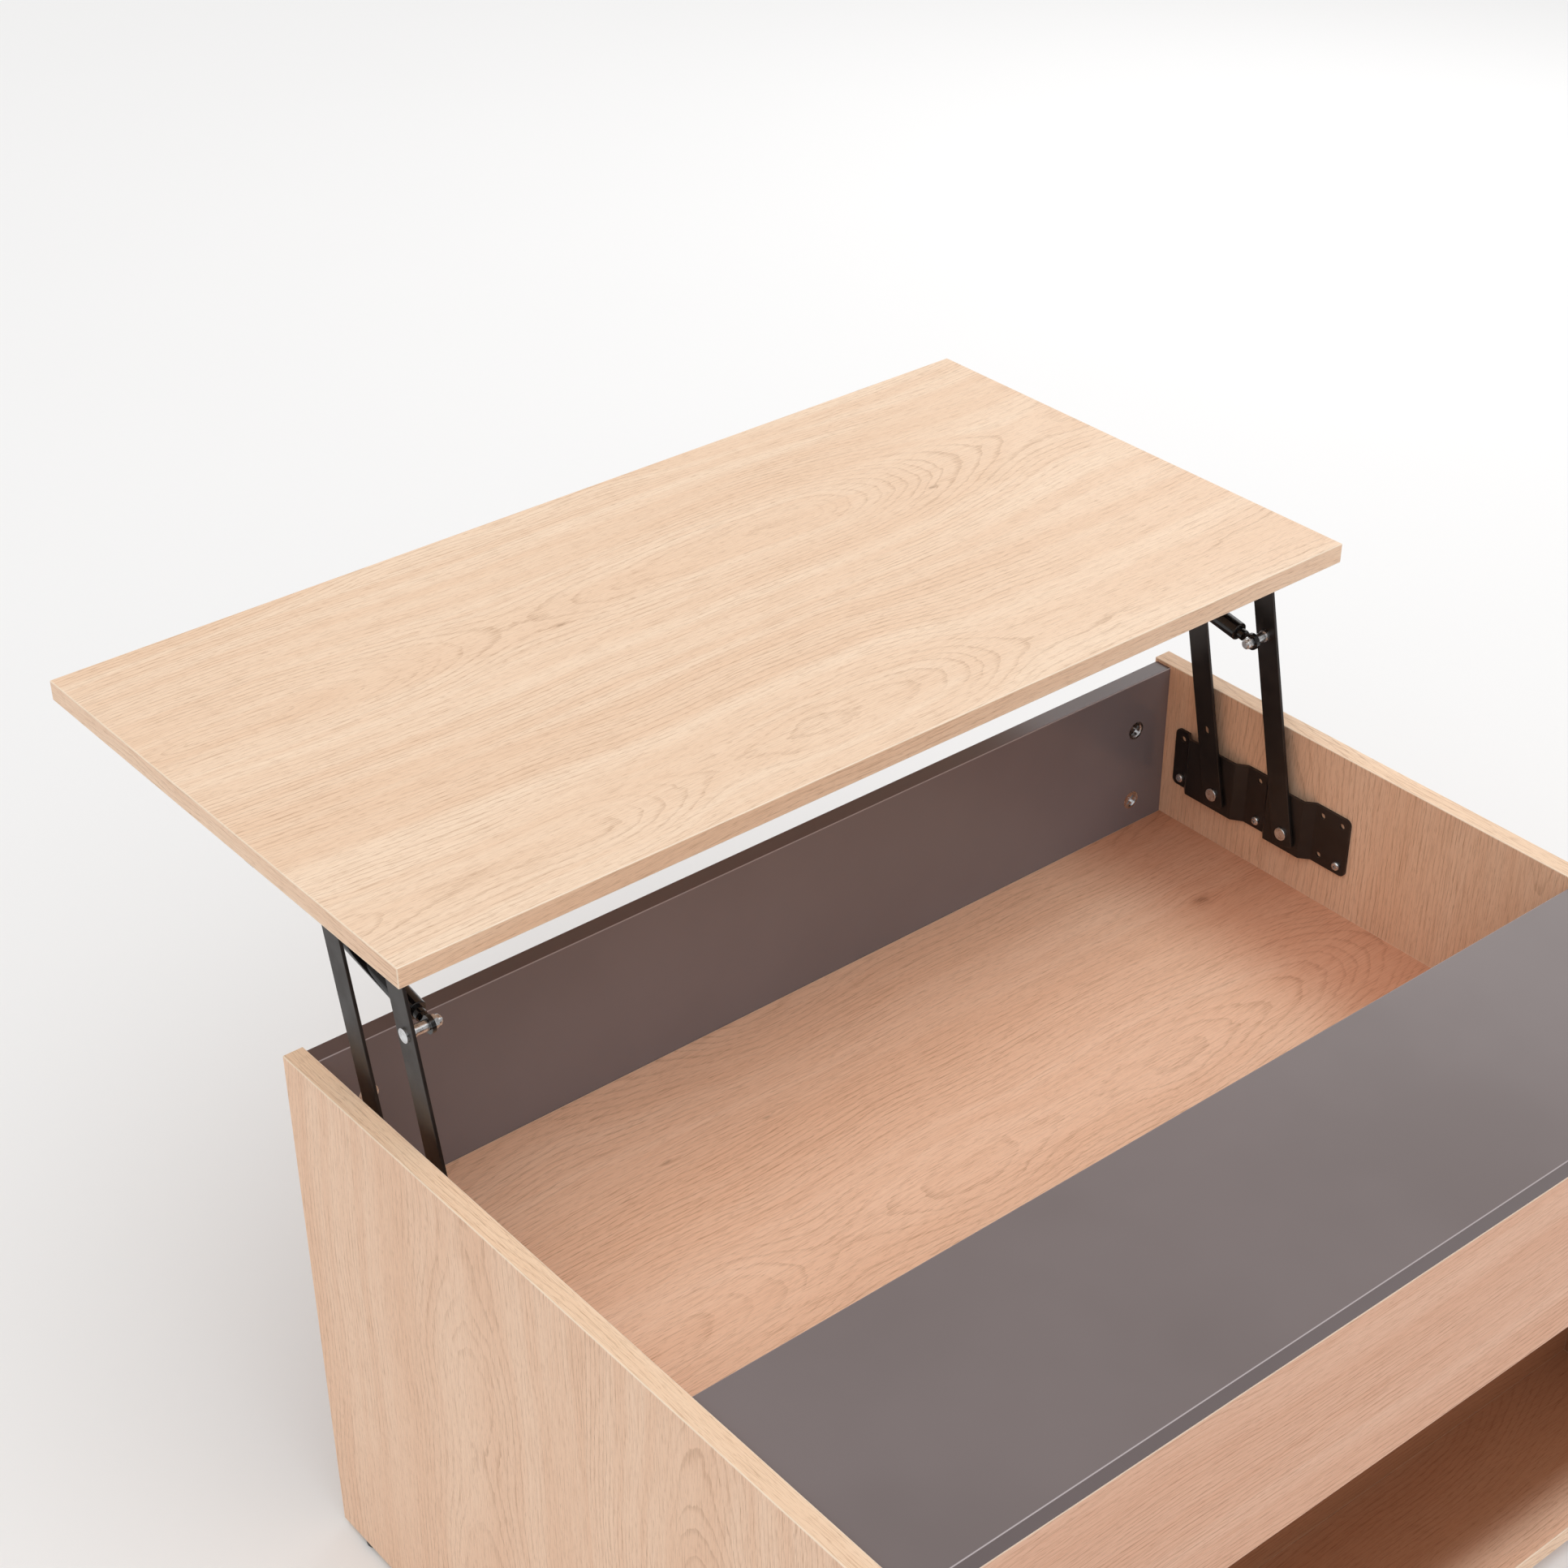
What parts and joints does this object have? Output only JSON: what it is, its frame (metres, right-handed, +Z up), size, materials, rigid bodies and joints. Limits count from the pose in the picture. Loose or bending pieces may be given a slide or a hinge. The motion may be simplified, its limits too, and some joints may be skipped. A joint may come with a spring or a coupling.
{
  "type": "lift top coffee table",
  "caption": "Rectangular coffee table whose top rises and moves forward on parallel hinge arms with gas struts, over a deep storage compartment, with open niches below.",
  "frame": {"origin": "on the floor under the middle of the outline that the table has with its top raised", "axes": "+Z up, +Y towards the sitter and the side that the top moves to as it rises, +X along the table"},
  "size_m": [0.8, 0.844, 0.581],
  "materials": {
    "oak_laminate": "satin oak-grain laminate",
    "grey_laminate": "satin grey-taupe laminate",
    "beech": "plain",
    "zinc": "zinc plated",
    "black_powder": "satin black powder coat",
    "gloss_black": "gloss black lacquer",
    "polished_rod": "polished",
    "nylon": "plain",
    "glide_plastic": "plain"
  },
  "bodies": {
    "carcass": {"left_side_panel": "oak_laminate", "right_side_panel": "oak_laminate", "front_panel": "grey_laminate", "compartment_floor": "oak_laminate", "fixed_top_panel": "grey_laminate", "rear_rail": "oak_laminate", "niche_back_panel": "oak_laminate", "bottom_panel": "oak_laminate", "floor_glides": "glide_plastic", "glide_nails": "zinc", "cam_locks": "zinc", "cam_bolts": "zinc", "wood_dowels": "beech", "left_base_plate": "black_powder", "right_base_plate": "black_powder", "base_plate_screws": "zinc", "base_pivot_rivets": "zinc", "base_pivot_washers": "nylon"},
    "rear_arms": {"left_rear_arm": "black_powder", "right_rear_arm": "black_powder", "strut_studs": "zinc", "strut_stud_collars": "zinc", "strut_stud_nuts": "zinc"},
    "front_arms": {"left_front_arm": "black_powder", "right_front_arm": "black_powder"},
    "lift_top": {"lift_top_board": "oak_laminate", "left_top_bracket": "black_powder", "right_top_bracket": "black_powder", "bracket_screws": "zinc", "top_pivot_rivets": "zinc", "top_pivot_washers": "nylon"},
    "strut_cylinders": {"left_strut_cylinder": "gloss_black", "right_strut_cylinder": "gloss_black", "strut_rod_guides": "nylon", "cylinder_end_eyes": "gloss_black"},
    "strut_rods": {"left_strut_rod": "polished_rod", "right_strut_rod": "polished_rod", "strut_pistons": "nylon", "rod_end_eyes": "gloss_black", "rod_eye_bolts": "zinc", "rod_eye_collars": "zinc", "rod_eye_nuts": "zinc"}
  },
  "joints": [
    {"name": "lift", "type": "hinge", "parent": "carcass", "child": "rear_arms", "pos_m": [0, 0.007, 0.3415], "axis": [1, 0, 0], "range_deg": [0, 84.51]},
    {"name": "front_arm_turn", "type": "hinge", "parent": "carcass", "child": "front_arms", "pos_m": [0, 0.0785, 0.3415], "axis": [1, 0, 0], "range_deg": [0, 84.56]},
    {"name": "top_level", "type": "hinge", "parent": "rear_arms", "child": "lift_top", "pos_m": [0, 0.05209, 0.5466], "axis": [1, 0, 0], "range_deg": [-84.56, 0]},
    {"name": "strut_swing", "type": "hinge", "parent": "rear_arms", "child": "strut_cylinders", "pos_m": [0, 0.04157, 0.49874], "axis": [1, 0, 0], "range_deg": [-94.69, 0]},
    {"name": "strut_extend", "type": "slide", "parent": "strut_cylinders", "child": "strut_rods", "axis": [0, 0.9836, 0.1805], "range_m": [-0.06029, 0]}
  ],
  "couplings": [
    {"joint": "front_arm_turn", "follows": "lift", "ratio": 1},
    {"joint": "top_level", "follows": "lift", "ratio": -1},
    {"joint": "strut_swing", "follows": "lift", "ratio": -1.1199},
    {"joint": "strut_extend", "follows": "lift", "m_per_rad": -0.040807}
  ]
}
